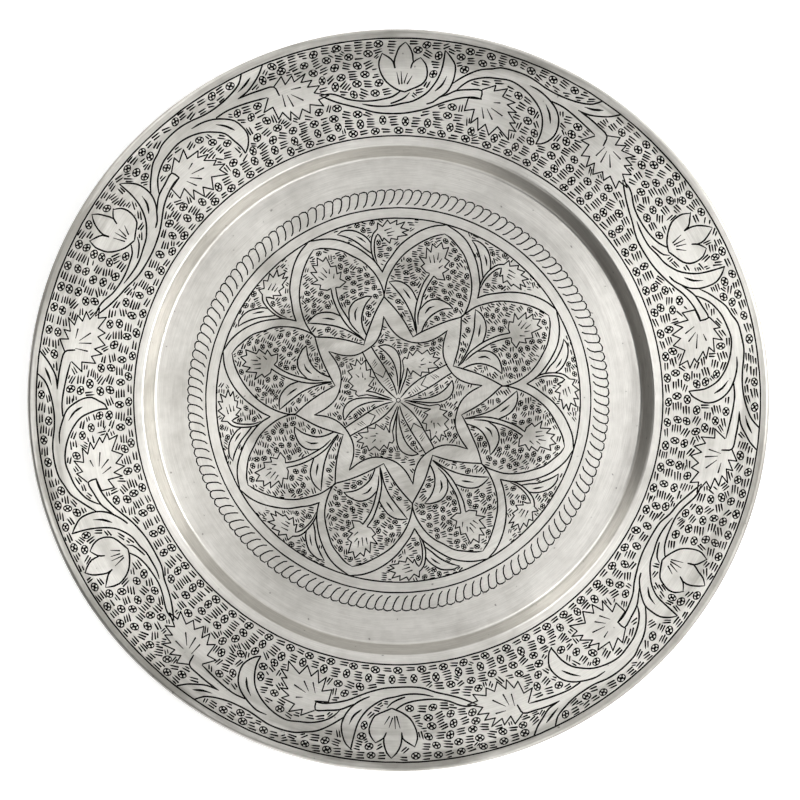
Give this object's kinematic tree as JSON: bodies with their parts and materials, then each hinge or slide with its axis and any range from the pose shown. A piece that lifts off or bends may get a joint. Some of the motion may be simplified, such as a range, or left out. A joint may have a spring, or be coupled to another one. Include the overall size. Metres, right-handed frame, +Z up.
{
  "type": "offering plate",
  "caption": "Round shallow metal offering plate with a flat well, steep wall and broad rim with a wired edge, engraved all over with flowers and leaves.",
  "frame": {"origin": "centre of the flat underside of the well, on the surface that the plate stands on", "axes": "+Z up along the axis that the plate is turned about; +X and +Y lie in the surface it stands on"},
  "size_m": [0.305, 0.305, 0.0165],
  "materials": {
    "silver_plate": "silver-toned plate, turned with fine rings, lightly tarnished, satin",
    "engraving_black": "dull black filling in the cut lines",
    "iron_wire": "plain drawn iron wire, dull"
  },
  "bodies": {
    "root": {"plate_body": "silver_plate", "rim_wire": "iron_wire"}
  },
  "joints": []
}
